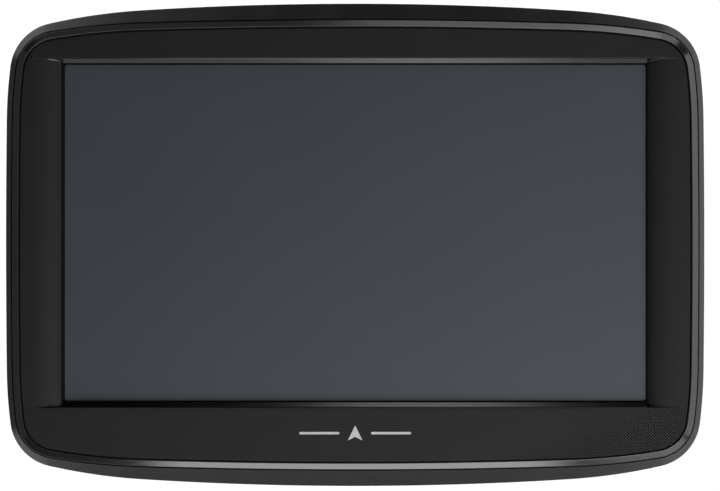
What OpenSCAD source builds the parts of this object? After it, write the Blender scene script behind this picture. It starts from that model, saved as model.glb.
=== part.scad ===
// Portable satellite navigator with a fold-flat windscreen mount in its back.
// Front face toward -Y, +Z up, +X to the right of a person who looks at the screen.
// The origin is the centre of the suction cup's seat on the glass. Depths are measured from the
// frontmost plane of the device toward +Y.

/* [Body] */
// Width of the body across its widest line
body_w = 139.2; // [138.6:0.2:140.4]
// Height of the body across its widest line
body_h = 96.3; // [95.7:0.2:97.5]
// Depth of the body without the suction cup
body_depth = 24; // [23.9:0.1:24.2]
// Radius of the corners of the body
body_corner_r = 10; // [9.4:0.1:10.6]
// Thickness of the rear housing's wall
wall = 1.8; // [1.6:0.1:1.9]

/* [Front] */
// Width of the front fascia
face_w = 133.8; // [133.4:0.2:134.4]
// Height of the front fascia
face_h = 86.6; // [86.2:0.2:87]
// Radius of the fascia's corners
face_corner_r = 6.6; // [6:0.1:7.2]
// Width of the window over the screen
window_w = 116.3; // [115.5:0.1:116.5]
// Height of the window over the screen
window_h = 67.5; // [66.5:0.1:67.7]
// Height of the window's centre above the body's centre
window_z = 2.4; // [2.2:0.1:2.6]
// Depth of the window's edge behind the frontmost plane
window_depth = 1.9; // [1.7:0.1:2]
// Width of the rolled slope between a side panel and the window
side_roll = 6.5; // [5:0.5:6.5]

/* [Windscreen mount] */
// Radius of the round recess in the back
recess_r = 36.6; // [36.5:0.1:36.8]
// Depth at which the recess floor lies
recess_depth = 15.3; // [15.2:0.1:15.3]
// Radius of the suction cup
cup_r = 28; // [27.6:0.1:28]
// Distance that the cup stands proud of the back
cup_proud = 1.4; // [1.3:0.1:1.5]
// Height of the tilt hinge above the cup's centre
hinge_z = 32.3; // [32.2:0.1:32.4]
// Diameter of the hinge pin
hinge_pin_d = 3; // [2.8:0.1:3.1]
// Distance that the twist lock pulls the middle of the cup
cup_pull = 1.5; // [1.2:0.1:1.5]
// Turn of the twist lock in degrees
lock_turn = 75; // [70:1:80]

/* [Power key] */
// Distance of the key from the body's centre line
key_x = -49; // [-50:0.5:-48]
// Height of the key's centre
key_z = -30; // [-31:0.5:-29.5]
// Diameter of the key cap
key_d = 9; // [8:0.1:9]

/* [Hidden] */
$fn = 48;
eps = 0.01;

total_depth = body_depth + cup_proud;

// A quarter of an outline is five tangent arcs: crown, shoulder, corner, cheek and side. A shape is
// [half width, half height, shoulder radius, corner radius, cheek radius, and the headings in degrees
// at the four joints between the arcs]. The crown and the side radius follow from these.
body_shape = [body_w / 2, body_h / 2, 113, body_corner_r, 94, 3.7, 13, 82.8, 89.3];
face_shape = [face_w / 2, face_h / 2, 134, face_corner_r, 91, 1.8, 9.5, 82.6, 89.2];
window_shape = [window_w / 2, window_h / 2, 20000, 0.6, 20000, 0.05, 0.1, 89.95, 89.98];
trough_shape = [window_w / 2 + side_roll, window_h / 2 + 1, 20000, 1, 20000, 0.05, 0.1, 89.95, 89.98];
offset_unit = [1, 1, 1, 1, 1, 0, 0, 0, 0];

// Front edge of the rear housing, and the trim ring that it holds
rim_depth = 1.1;
trim_w = 1.42;
trim_back = 3;
trim_lip = 0.12;
trim_slope = 0.5;
seam = 0.1;
// Widest line of the body and where its back starts to round over
widest_depth = 9;
round_depth = 13;
// Angle of the ellipse at which the flare behind the rim starts
flare_start = 25;
round_inset = 9.5;
back_shape = [body_w / 2 - round_inset, body_h / 2 - round_inset, 110, 5.5, 90, 3.7, 13, 82.8, 89.3];
back_inner = body_depth - wall;

// Screen stack, front to back
fascia_depth = 0.4;
fascia_back = 2.5;
skirt_back = 7.5;
skirt_wall = 1.2;
panel_depth = 2.8;
panel_t = 1;
panel_w = 119.2;
panel_h = 70.4;
cell_depth = 4;
cell_t = 1.2;
light_depth = 5.3;
light_t = 1.7;
cell_w = 117.4;
cell_h = 70;
frame_back = 7.4;
frame_wall = 0.3;
frame_gap = 0.2;
chassis_depth = 7.6;
chassis_t = 1;

// Main board
board_depth = 9.6;
board_t = 1;
board_back = board_depth + board_t;
board_w = 112;
board_top = 37;
board_bottom = -33;
tab_left = -36;
tab_right = 20;
tab_bottom = -44.8;
board_posts = [[-52, 32], [33, 32], [-38, -24], [35.5, -29]];
usb_x = 8;
card_x = -27;

// Case screws
case_screw_x = 61.6;
case_screw_z = 35.4;
case_screws_at = [for (sx = [-1, 1], sz = [-1, 1]) [sx * case_screw_x, sz * case_screw_z]];
screw_seat = 20.6;
screw_hole_r = 1.15;
boss_wall = 1.65;

// Battery and speaker
battery_size = [23, 6, 50];
battery_at = [-50.5, 14.4, 5];
speaker_r = 10.5;
speaker_at = [49, -8];
speaker_back = 21.5;
grille_pitch = 2.7;
grille_hole_r = 0.85;

// Swivel
floor_t = 1.6;
swivel_front = recess_depth + 0.2;
swivel_back = swivel_front + 1.7;
boss_r = 8;
bearing_gap = 0.05;
retainer_back = recess_depth - floor_t - 0.6;
retainer_t = 0.8;
retainer_r = 11.5;
retainer_screw_ring = 5.4;

// Tilt hinge
hinge_depth = 22.3;
hinge_r = 2.5;
knuckle_half = 5;
ear_inner = 5.4;
ear_outer = 8;
bush_r = 2;
pin_gap = 0.05;

// Suction cup and its twist lock
web_front = swivel_back + 0.4;
web_t = 1;
shell_back = 21.4;
shell_outer = 25.8;
shell_inner = 24.6;
ring_front = 19.4;
ring_web = 21.6;
ring_web_t = 1.1;
ring_inner = 26;
ring_outer = 28.5;
band_outer = 29.2;
band_ribs = 60;
stem_r = 4;
puller_back = shell_back;
puller_t = 1;
puller_r = 13;
lug_r = 20;
lug_half = 3;
ramp_inner = 16;
ramp_start = 2;
ramp_span = 84;
ramp_rate = cup_pull / lock_turn;
post_ring = 9.5;
post_r = 1.5;
core_r = 9;
core_depth = 24.3;
core_t = 0.6;

// ---- Frames and helpers ----

function y_of(depth) = depth - total_depth;

// Radii of the five arcs of a shape
function arc_radii(s) =
    let (
        width_left = s[0] - s[2] * (sin(s[6]) - sin(s[5])) - s[3] * (sin(s[7]) - sin(s[6]))
            - s[4] * (sin(s[8]) - sin(s[7])),
        height_left = s[1] - s[2] * (cos(s[5]) - cos(s[6])) - s[3] * (cos(s[6]) - cos(s[7]))
            - s[4] * (cos(s[7]) - cos(s[8])),
        side_w = 1 - sin(s[8]),
        crown_h = 1 - cos(s[5]),
        scale = sin(s[5]) * cos(s[8]) - side_w * crown_h
    )
    [
        (width_left * cos(s[8]) - height_left * side_w) / scale,
        s[2], s[3], s[4],
        (height_left * sin(s[5]) - width_left * crown_h) / scale
    ];

// Points of tangent arcs one after the other from p. Headings turn clockwise from +x.
function arc_chain(p, radii, headings, steps, i = 0) =
    i == len(radii) ? [p] :
    let (from = headings[i], turn = headings[i + 1] - from)
    concat(
        [for (k = [0 : steps[i] - 1]) let (t = from + turn * k / steps[i])
            p + radii[i] * [sin(t) - sin(from), cos(t) - cos(from)]],
        arc_chain(p + radii[i] * [sin(from + turn) - sin(from), cos(from + turn) - cos(from)],
            radii, headings, steps, i + 1)
    );

// Quarter of an outline from the middle of the top edge to the middle of the right edge
function quarter(s) =
    arc_chain([0, s[1]], arc_radii(s), [0, s[5], s[6], s[7], s[8], 90], [3, 3, 6, 2, 1]);

// Whole outline, clockwise as seen from the front, grown by some distance and raised by dz
function outline(s, grow = 0, dz = 0) =
    let (q = quarter(s + grow * offset_unit), m = len(q) - 1)
    [for (p = concat(
        q,
        [for (i = [m - 1 : -1 : 0]) [q[i][0], -q[i][1]]],
        [for (i = [1 : m]) [-q[i][0], -q[i][1]]],
        [for (i = [m - 1 : -1 : 1]) [-q[i][0], q[i][1]]]
    )) p + [0, dz]];

// Solid through rings of [depth, points]. A closed one joins its last ring to its first.
module loft(rings, closed = false) {
    n = len(rings[0][1]);
    last = len(rings) - 1;
    points = [for (ring = rings) for (p = ring[1]) [p[0], y_of(ring[0]), p[1]]];
    spans = [for (i = [0 : closed ? last : last - 1]) [i * n, (i < last ? i + 1 : 0) * n]];
    sides = [for (s = spans) for (j = [0 : n - 1]) let (k = (j + 1) % n)
        each [[s[0] + j, s[1] + j, s[1] + k], [s[0] + j, s[1] + k, s[0] + k]]];
    caps = closed ? [] : [[for (j = [0 : n - 1]) j], [for (j = [n - 1 : -1 : 0]) last * n + j]];
    polyhedron(points, concat(sides, caps));
}

// Plate between two depths whose outline is drawn in x and z
module slab(front, back) {
    translate([0, y_of(back), 0]) rotate([90, 0, 0]) linear_extrude(back - front) children();
}

// Solid of revolution about the axis of the cup, from points of [radius, depth]
module turned(points) {
    translate([0, -total_depth, 0]) rotate([-90, 0, 0]) rotate_extrude($fn = 96) polygon(points);
}

// Cylinder along Y between two depths
module rod(at, r, front, back) {
    translate([at[0], y_of(front), at[1]]) rotate([-90, 0, 0]) cylinder(h = back - front, r = r);
}

// Block between two depths, with its middle at [x, z]
module block(at, size, front, back) {
    translate([at[0] - size[0] / 2, y_of(front), at[1] - size[1] / 2])
        cube([size[0], back - front, size[1]]);
}

// Cylinder along X
module cross_rod(depth, z, r, x0, x1) {
    translate([x0, y_of(depth), z]) rotate([0, 90, 0]) cylinder(h = x1 - x0, r = r);
}

// Rounded rectangle about the origin
module rounded(w, h, r) {
    corners = [[w / 2 - r, h / 2 - r, 0], [r - w / 2, h / 2 - r, 90],
        [r - w / 2, r - h / 2, 180], [w / 2 - r, r - h / 2, 270]];
    polygon([for (c = corners) for (i = [0 : 6])
        [c[0], c[1]] + r * [cos(c[2] + 15 * i), sin(c[2] + 15 * i)]]);
}

function unit(v) = v / norm(v);

// Round wire swept along [x, depth, z] points, none of whose steps runs along X
module wire(points, r) {
    sides = 8;
    placed = [for (p = points) [p[0], y_of(p[1]), p[2]]];
    last = len(placed) - 1;
    rings = [for (i = [0 : last]) let (
        along = unit(placed[min(i + 1, last)] - placed[max(i - 1, 0)]),
        u = unit([1, 0, 0] - along[0] * along),
        v = cross(along, u)
    ) [for (j = [0 : sides - 1]) placed[i] + r * (cos(360 * j / sides) * u + sin(360 * j / sides) * v)]];
    skin = [for (i = [0 : last - 1]) for (j = [0 : sides - 1]) let (k = (j + 1) % sides)
        each [[i * sides + j, (i + 1) * sides + j, (i + 1) * sides + k],
            [i * sides + j, (i + 1) * sides + k, i * sides + k]]];
    caps = [[for (j = [0 : sides - 1]) j], [for (j = [sides - 1 : -1 : 0]) last * sides + j]];
    polyhedron([for (ring = rings) each ring], concat(skin, caps));
}

// Flat flexible strip between x0 and x1, from a side view of [depth, z] points
module strip(x0, x1, side) {
    translate([x0, 0, 0]) rotate([90, 0, 90]) linear_extrude(x1 - x0)
        polygon([for (p = side) [y_of(p[0]), p[1]]]);
}

// Cross-headed screw along Y: its head sits behind the seat and its shank runs toward the front
module screw(at, seat, shank_r, shank_l, head_r, head_h) {
    slot_w = shank_r * 0.45;
    difference() {
        rod(at, head_r, seat, seat + head_h);
        block(at, [head_r * 1.3, slot_w], seat + head_h / 2, seat + head_h + eps);
        block(at, [slot_w, head_r * 1.3], seat + head_h / 2, seat + head_h + eps);
    }
    rod(at, shank_r, seat - shank_l, seat);
}

// ---- Front ----

module front_fascia() {
    gate = outline(window_shape, 0, window_z);
    slope = [for (t = [0, 0.35, 1]) [
        window_depth - (window_depth - fascia_depth) * sqrt(1 - (1 - t) * (1 - t)),
        outline((1 - t) * window_shape + t * trough_shape, 0, window_z)
    ]];
    color([0.16, 0.16, 0.16]) {
        loft(concat(
            [[fascia_back, gate]],
            slope,
            [
                [fascia_depth, outline(face_shape, -0.4)],
                [fascia_depth + 0.4, outline(face_shape)],
                [skirt_back, outline(face_shape)],
                [skirt_back, outline(face_shape, -skirt_wall)],
                [fascia_back, outline(face_shape, -skirt_wall)]
            ]
        ), closed = true);
        for (at = case_screws_at) difference() {
            rod(at, 1.9, fascia_back - 0.2, skirt_back);
            rod(at, 0.8, fascia_back + 1, skirt_back + eps);
        }
    }
}

module trim_ring() {
    color([0.32, 0.32, 0.33])
        loft([
            [trim_back, outline(face_shape, seam)],
            [trim_lip, outline(face_shape, seam)],
            [0, outline(face_shape, seam + trim_lip)],
            [trim_slope, outline(face_shape, trim_w - trim_lip)],
            [trim_slope + trim_lip, outline(face_shape, trim_w)],
            [trim_back, outline(face_shape, trim_w)]
        ], closed = true);
}

module window_gasket() {
    color([0.08, 0.08, 0.08])
        slab(fascia_back + 0.02, panel_depth - 0.02) translate([0, window_z]) difference() {
            square([panel_w - 1.6, panel_h - 0.6], center = true);
            square([window_w + 0.4, window_h + 0.4], center = true);
        }
}

module touch_panel() {
    color([0.25, 0.26, 0.28])
        slab(panel_depth, panel_depth + panel_t) translate([0, window_z]) rounded(panel_w, panel_h, 1);
}

module touch_flex() {
    low = window_z - panel_h / 2;
    color([0.75, 0.5, 0.15])
        strip(24, 31, [[3.5, low - 0.02], [3.5, -36.3], [12.3, -36.3], [12.3, -32.1],
            [12.15, -32.1], [12.15, -36.15], [3.65, -36.15], [3.65, low - 0.02]]);
}

module lcd_cell() {
    color([0.3, 0.32, 0.34])
        slab(cell_depth, cell_depth + cell_t) translate([0, window_z])
            square([cell_w, cell_h], center = true);
}

module lcd_backlight() {
    color([0.92, 0.92, 0.88])
        slab(light_depth, light_depth + light_t) translate([0, window_z])
            square([cell_w, cell_h], center = true);
}

module lcd_frame() {
    inner = [cell_w + frame_gap, cell_h + frame_gap];
    color([0.7, 0.71, 0.72])
        difference() {
            slab(cell_depth + 0.2, frame_back) translate([0, window_z])
                square(inner + 2 * frame_wall * [1, 1], center = true);
            slab(cell_depth, frame_back - frame_wall) translate([0, window_z]) square(inner, center = true);
            block([45, window_z - inner[1] / 2], [13, 4], cell_depth, frame_back - 1);
            for (sx = [-1, 1]) block([sx * 28, window_z], [44, 52], frame_back - 1, frame_back + eps);
        }
}

module lcd_flex() {
    low = window_z - cell_h / 2;
    color([0.8, 0.55, 0.2])
        strip(40, 50, [[4.5, low - 0.02], [4.5, -37.4], [13, -37.4], [13, -32.1],
            [12.85, -32.1], [12.85, -37.25], [4.65, -37.25], [4.65, low - 0.02]]);
}

module mid_frame() {
    color([0.22, 0.22, 0.23]) {
        difference() {
            slab(chassis_depth, chassis_depth + chassis_t) polygon(outline(face_shape, -0.3));
            for (sx = [-1, 1]) slab(chassis_depth - eps, chassis_depth + chassis_t + eps)
                translate([sx * 27, 4]) rounded(40, 44, 4);
            block([37, -37], [30, 4], chassis_depth - eps, chassis_depth + chassis_t + eps);
            for (at = case_screws_at) rod(at, 1.05, chassis_depth - eps, chassis_depth + chassis_t + eps);
        }
        for (at = board_posts) difference() {
            rod(at, 2.2, chassis_depth + chassis_t - eps, board_depth);
            rod(at, 0.7, chassis_depth + chassis_t, board_depth + eps);
        }
    }
}

// ---- Electronics ----

module main_board() {
    color([0.05, 0.3, 0.16])
        difference() {
            union() {
                slab(board_depth, board_back) translate([0, (board_top + board_bottom) / 2])
                    rounded(board_w, board_top - board_bottom, 3);
                block([(tab_left + tab_right) / 2, (tab_bottom + board_bottom) / 2 + 1],
                    [tab_right - tab_left, board_bottom - tab_bottom + 2], board_depth, board_back);
            }
            for (at = board_posts) rod(at, 1.1, board_depth - eps, board_back + eps);
        }
}

// Pressed metal can, open toward the board
module shield(at, size, height) {
    difference() {
        block(at, size, board_back + 0.02, board_back + height);
        block(at, size - [0.5, 0.5], board_back, board_back + height - 0.25);
    }
}

module processor_shield() {
    color([0.75, 0.76, 0.77]) shield([-14, -20.5], [30, 15.6], 2.4);
}

module radio_shield() {
    color([0.75, 0.76, 0.77]) shield([28, 14], [20, 16], 2.2);
}

module gps_antenna() {
    at = [47.5, 28];
    color([0.86, 0.8, 0.66]) {
        block(at, [15, 15], board_back + 0.02, board_back + 3.6);
        block(at, [12, 12], board_back + 3.6 - eps, board_back + 3.7);
    }
}

module board_connectors() {
    color([0.9, 0.88, 0.8]) {
        block([27.5, -30], [9, 4], board_back + 0.02, board_back + 1.9);
        block([45, -30], [12, 4], board_back + 0.02, board_back + 2.5);
        block([-40, 31], [5, 4], board_back + 0.02, board_back + 2);
        block([44, 8], [5, 4], board_back + 0.02, board_back + 2);
    }
}

module board_components() {
    coils = [[-40, -14], [-40, -7], [44, -4], [44, -20]];
    color([0.12, 0.12, 0.12]) {
        block([-14, 24], [14, 14], board_back + 0.02, board_back + 1.4);
        block([8, 22], [9, 9], board_back + 0.02, board_back + 1.2);
        block([22, -14], [8, 12], board_back + 0.02, board_back + 1.2);
        for (at = coils) block(at, [5, 5], board_back + 0.02, board_back + 2.2);
        for (i = [0 : 7]) block([-32 + 5 * i, 10], [1.2, 2], board_back + 0.02, board_back + 0.9);
        for (i = [0 : 5]) block([12, -36 + 5.2 * i], [2, 1.2], board_back + 0.02, board_back + 0.9);
    }
}

module usb_socket() {
    mouth = -45.9;
    color([0.78, 0.79, 0.8])
        difference() {
            block([usb_x, mouth + 2.8], [7.6, 5.6], board_back + 0.02, board_back + 2.9);
            block([usb_x, mouth + 2], [7, 5], board_back + 0.3, board_back + 0.95);
            block([usb_x, mouth + 2], [6, 5], board_back + 0.9, board_back + 1.4);
            block([usb_x, mouth + 2], [7, 5], board_back + 1.35, board_back + 2.6);
        }
}

module card_socket() {
    mouth = -45.2;
    color([0.76, 0.77, 0.78])
        difference() {
            block([card_x, mouth + 7.5], [14, 15], board_back + 0.02, board_back + 1.5);
            block([card_x, mouth + 7], [11.2, 15], board_back + 0.35, board_back + 1.2);
        }
}

module tact_switch() {
    color([0.2, 0.2, 0.2]) {
        block([key_x, key_z + 0.6], [6, 4.6], board_back + 0.02, board_back + 1.5);
        rod([key_x, key_z], 1.6, board_back + 1.5 - eps, board_back + 1.9);
    }
}

module light_pipe() {
    color([0.9, 0.92, 0.95]) {
        rod([-41, key_z], 0.9, board_back + 1, body_depth);
        rod([-41, key_z], 1.6, back_inner - 1, back_inner - 0.1);
    }
}

module battery() {
    color([0.55, 0.57, 0.62])
        translate([battery_at[0], y_of(battery_at[1]), battery_at[2] - battery_size[2] / 2])
        linear_extrude(battery_size[2]) translate([0, battery_size[1] / 2])
        rounded(battery_size[0], battery_size[1], 2.9);
}

module battery_pad() {
    color([0.9, 0.9, 0.86])
        block([battery_at[0], battery_at[2]], [16, 40],
            battery_at[1] + battery_size[1] + 0.02, back_inner - 0.02);
}

module battery_lead() {
    for (side = [-1, 1])
        color(side < 0 ? [0.7, 0.1, 0.1] : [0.08, 0.08, 0.08])
            wire([[-44 + side, 17, 30.03], [-44 + side, 17, 31.5], [-43.8 + side, 16.6, 32.8],
                [-43 + side, 15.8, 33.6], [-41.5 + side, 14.7, 34.1], [-40.4 + side, 13.9, 34],
                [-40 + side, 13.5, 33.5], [-40 + side, 13.4, 32.74]], 0.5);
}

module battery_plug() {
    color([0.93, 0.93, 0.9]) block([-40, 31], [4.6, 3.4], board_back + 2.02, board_back + 3.6);
}

module speaker_frame() {
    color([0.35, 0.35, 0.36]) {
        difference() {
            rod(speaker_at, speaker_r, 17.8, speaker_back);
            rod(speaker_at, speaker_r - 1.2, 19, speaker_back + eps);
            rod(speaker_at, speaker_r - 3.2, 18.6, speaker_back);
        }
        rod(speaker_at, 6.8, 15.8, 17.8 + eps);
    }
}

module speaker_cone() {
    color([0.1, 0.1, 0.1])
        translate([speaker_at[0], -total_depth, speaker_at[1]]) rotate([-90, 0, 0]) rotate_extrude($fn = 64)
        polygon([[0, 20.1], [2.6, 19.6], [7.4, 20.5], [speaker_r - 1.3, 20.5], [speaker_r - 1.3, 20.75],
            [7.3, 20.75], [2.6, 19.85], [0, 20.35]]);
}

module speaker_gasket() {
    color([0.12, 0.12, 0.12])
        difference() {
            rod(speaker_at, speaker_r, speaker_back + 0.05, back_inner - 0.25);
            rod(speaker_at, speaker_r - 1.2, speaker_back, body_depth);
        }
}

module speaker_mesh() {
    color([0.05, 0.05, 0.05]) rod(speaker_at, speaker_r - 0.4, back_inner - 0.2, back_inner - 0.02);
}

module speaker_lead() {
    for (side = [-1, 1])
        color(side < 0 ? [0.7, 0.1, 0.1] : [0.08, 0.08, 0.08])
            wire([[49 + side, 17, -1.15], [49 + side, 17, 2], [48.6 + side, 16.7, 4], [47.5 + side, 15.8, 6],
                [45.6 + side, 14.6, 7.4], [44.4 + side, 13.6, 7.9], [44 + side, 12.66, 8]], 0.45);
}

// ---- Rear housing ----

// Rounding of the back edge: angle v runs from the widest part to the flat back
function round_ring(v, skin) =
    [round_depth + (body_depth - skin - round_depth) * sin(v),
        outline(cos(v) * body_shape + (1 - cos(v)) * back_shape, -skin * (1 - 0.6 * (1 - cos(v))))];

module housing_shell() {
    lip = outline(face_shape, trim_w + seam);
    ledge = outline(face_shape, seam + 0.2);
    rim = face_shape + (trim_w + seam + 0.15) * offset_unit;
    inner_back = [for (v = [90 : -15 : 0]) round_ring(v, wall)];
    flare = [for (v = [flare_start : (90 - flare_start) / 5 : 90.1])
        let (share = (sin(v) - sin(flare_start)) / (1 - sin(flare_start)))
        [
            rim_depth + (widest_depth - rim_depth) * (1 - cos(v) / cos(flare_start)),
            outline((1 - share) * rim + share * body_shape)
        ]];
    outer_back = [for (v = [0 : 15 : 90]) round_ring(v, 0)];
    loft(concat(
        inner_back,
        [
            [skirt_back + 1.3, outline(body_shape, -wall)],
            [skirt_back + 1.1, ledge],
            [trim_back + seam, ledge],
            [trim_back + seam, lip],
            [rim_depth, lip]
        ],
        flare,
        outer_back
    ));
}

module speaker_grille() {
    for (row = [-4 : 4], column = [-4 : 4]) {
        p = grille_pitch * [column + row / 2, row * sqrt(3) / 2];
        if (norm(p) < speaker_r - 1.8)
            rod(speaker_at + p, grille_hole_r, back_inner - 0.1, body_depth + 1, $fn = 20);
    }
}

module rear_housing() {
    tub_floor = recess_depth - floor_t;
    color([0.2, 0.2, 0.2])
        difference() {
            union() {
                difference() {
                    housing_shell();
                    rod([0, 0], recess_r + 0.5, back_inner - 1, body_depth + 1, $fn = 128);
                }
                difference() {
                    rod([0, 0], recess_r + 1.2, tub_floor, body_depth, $fn = 128);
                    rod([0, 0], recess_r, recess_depth, body_depth + 1, $fn = 128);
                }
                for (at = case_screws_at)
                    rod(at, boss_wall + screw_hole_r, chassis_depth + chassis_t + 0.1, screw_seat + 1);
                difference() {
                    rod([key_x, key_z], key_d / 2 + 1.9, back_inner - 3, back_inner + eps);
                    rod([key_x, key_z], key_d / 2 + 0.9, back_inner - 3.1, back_inner + 0.1);
                }
            }
            rod([0, 0], boss_r + bearing_gap, tub_floor - 1, recess_depth + 1, $fn = 96);
            for (at = case_screws_at) {
                rod(at, screw_hole_r, chassis_depth, body_depth + 1);
                rod(at, 2.2, screw_seat, body_depth + 1);
            }
            rod([key_x, key_z], key_d / 2 + 0.1, back_inner - 0.1, body_depth + 1);
            rod([-41, key_z], 1, back_inner - 0.2, body_depth + 1);
            rod([-41, key_z], 1.8, back_inner - 3.2, back_inner);
            speaker_grille();
            block([usb_x, -48], [8.6, 6], board_back - 0.4, board_back + 3.4);
            block([card_x, -48], [12, 6], board_back + 0.1, board_back + 1.5);
        }
}

module case_screws() {
    color([0.25, 0.25, 0.26])
        for (at = case_screws_at) {
            screw(at, screw_seat, 1, screw_seat - chassis_depth - 0.1, 1.9, 1.3);
            rod(at, 0.8, fascia_back + 2, chassis_depth + 0.1 + eps);
        }
}

module board_screws() {
    color([0.6, 0.6, 0.62])
        for (at = board_posts) {
            screw(at, board_back + 0.02, 1, 0.9, 1.7, 0.9);
            rod(at, 0.7, chassis_depth + chassis_t + 0.1, board_depth + 0.2);
        }
}

// ---- Power key ----

module power_key() {
    color([0.13, 0.13, 0.13]) {
        translate([key_x, -total_depth, key_z]) rotate([-90, 0, 0]) rotate_extrude($fn = 64)
            polygon([[0, 20.9], [key_d / 2 + 0.6, 20.9], [key_d / 2 + 0.6, back_inner - 0.1],
                [key_d / 2, back_inner - 0.1], [key_d / 2, body_depth + 0.1],
                [key_d / 2 - 0.3, body_depth + 0.4], [0, body_depth + 0.3]]);
    }
}

module switch_plunger() {
    color([0.8, 0.8, 0.78]) rod([key_x, key_z], 1.5, board_back + 2.35, 20.9);
}

// ---- Swivel and tilt hinge ----

module swivel_plate() {
    ears = [[ear_inner, ear_outer], [-ear_outer, -ear_inner]];
    color([0.24, 0.24, 0.25])
        difference() {
            union() {
                turned([[0, swivel_front], [recess_r - 1.1, swivel_front], [recess_r - 1.1, swivel_back],
                    [0, swivel_back]]);
                rod([0, 0], boss_r, retainer_back, swivel_front + 0.1, $fn = 96);
                for (x = ears) {
                    cross_rod(hinge_depth, hinge_z, hinge_r, x[0], x[1]);
                    translate([x[0], y_of(swivel_back - 0.2), hinge_z - hinge_r])
                        cube([x[1] - x[0], hinge_depth - swivel_back + 0.2, 2 * hinge_r - 0.5]);
                }
            }
            rod([0, 0], 3.2, retainer_back - 1, swivel_front + 0.6);
            for (a = [90, 210, 330])
                rod(retainer_screw_ring * [cos(a), sin(a)], 0.65, retainer_back - 1, swivel_front + 0.6);
            cross_rod(hinge_depth, hinge_z, hinge_pin_d / 2, -ear_outer - 1, ear_outer + 1);
        }
}

module swivel_retainer() {
    color([0.72, 0.73, 0.74])
        difference() {
            rod([0, 0], retainer_r, retainer_back - retainer_t, retainer_back - 0.02, $fn = 96);
            rod([0, 0], 3.2, retainer_back - 2, retainer_back);
            for (a = [90, 210, 330])
                rod(retainer_screw_ring * [cos(a), sin(a)], 0.9, retainer_back - 2, retainer_back);
        }
}

module retainer_screws() {
    head = 0.8;
    under = retainer_back - retainer_t;
    color([0.62, 0.63, 0.65])
        for (a = [90, 210, 330]) {
            at = retainer_screw_ring * [cos(a), sin(a)];
            difference() {
                rod(at, 1.5, under - head, under - 0.02);
                block(at, [2, 0.4], under - head - eps, under - head / 2);
                block(at, [0.4, 2], under - head - eps, under - head / 2);
            }
            rod(at, 0.6, under - 0.02 - eps, swivel_front + 0.4);
        }
}

module wave_washer() {
    color([0.8, 0.81, 0.82])
        difference() {
            rod([0, 0], 10.8, retainer_back + 0.1, retainer_back + 0.5, $fn = 96);
            rod([0, 0], boss_r + 0.3, retainer_back, retainer_back + 1, $fn = 96);
        }
}

module hinge_pin() {
    color([0.75, 0.76, 0.78])
        cross_rod(hinge_depth, hinge_z, hinge_pin_d / 2 - 0.005, -ear_outer, ear_outer);
}

// ---- Suction mount ----

module cup_housing() {
    web_back = web_front + web_t;
    color([0.15, 0.15, 0.15]) {
        difference() {
            union() {
                turned([[0, web_front], [shell_outer, web_front], [shell_outer, shell_back],
                    [shell_inner, shell_back], [shell_inner, web_back], [0, web_back]]);
                translate([-knuckle_half, y_of(web_front), 20])
                    cube([2 * knuckle_half, 1.4, hinge_z - 20]);
                translate([-knuckle_half, y_of(web_front), hinge_z - hinge_r])
                    cube([2 * knuckle_half, hinge_depth - web_front, hinge_r]);
                cross_rod(hinge_depth, hinge_z, hinge_r, -knuckle_half, knuckle_half);
            }
            cross_rod(hinge_depth, hinge_z, bush_r, -knuckle_half - 1, knuckle_half + 1);
        }
        for (a = [30, 150, 270])
            rod(post_ring * [cos(a), sin(a)], post_r, web_back - eps, web_back + 2.3);
    }
}

module hinge_bushes() {
    color([0.78, 0.62, 0.3])
        for (side = [0, 1]) mirror([side, 0, 0]) difference() {
            union() {
                cross_rod(hinge_depth, hinge_z, bush_r - 0.005, 0.5, knuckle_half);
                cross_rod(hinge_depth, hinge_z, bush_r + 0.3, knuckle_half + 0.02, knuckle_half + 0.3);
                cross_rod(hinge_depth, hinge_z, bush_r - 0.005, knuckle_half - eps, knuckle_half + 0.1);
            }
            cross_rod(hinge_depth, hinge_z, hinge_pin_d / 2 + pin_gap, 0, knuckle_half + 1);
        }
}

module suction_cup() {
    color([0.1, 0.1, 0.1]) {
        turned([[0, core_depth + core_t + 0.02], [core_r + 0.1, core_depth + core_t + 0.02],
            [core_r + 0.1, core_depth], [23, 23.5], [24, 22.95], [cup_r - 0.4, 22.95], [cup_r, 23.4],
            [cup_r, total_depth], [24.4, total_depth], [23.4, total_depth - 0.3], [0, total_depth - 0.1]]);
        block([0, -cup_r - 1.8], [8, 4.4], total_depth - 0.9, total_depth - 0.02);
    }
}

// One helical ramp on the ring: its height over the web grows as its angle falls away from the lug
module ramp(lug_angle) {
    steps = 12;
    sections = [for (i = [0 : steps]) let (
        delta = ramp_start + ramp_span * i / steps,
        a = lug_angle - delta,
        high = ring_web - ramp_rate * (delta - ramp_start) - eps,
        low = ring_web + 0.3
    ) [for (q = [[ramp_inner, low], [lug_r, low], [lug_r, high], [ramp_inner, high]])
        [q[0] * cos(a), y_of(q[1]), q[0] * sin(a)]]];
    points = [for (s = sections) each s];
    sides = [for (i = [0 : steps - 1]) for (j = [0 : 3]) let (k = (j + 1) % 4)
        each [[4 * i + j, 4 * i + 4 + k, 4 * i + k], [4 * i + j, 4 * i + 4 + j, 4 * i + 4 + k]]];
    polyhedron(points, concat(sides, [[0, 1, 2, 3], [for (j = [3 : -1 : 0]) 4 * steps + j]]));
}

module lock_ring() {
    color([0.2, 0.2, 0.2]) {
        turned([[stem_r + 0.4, ring_web], [ring_inner, ring_web], [ring_inner, ring_front],
            [ring_outer, ring_front],
            [ring_outer, ring_web + ring_web_t + 0.1], [ring_inner, ring_web + ring_web_t + 0.1],
            [ring_inner - 1, ring_web + ring_web_t], [stem_r + 0.4, ring_web + ring_web_t]]);
        for (a = [90, 210, 330]) ramp(a);
    }
}

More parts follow.
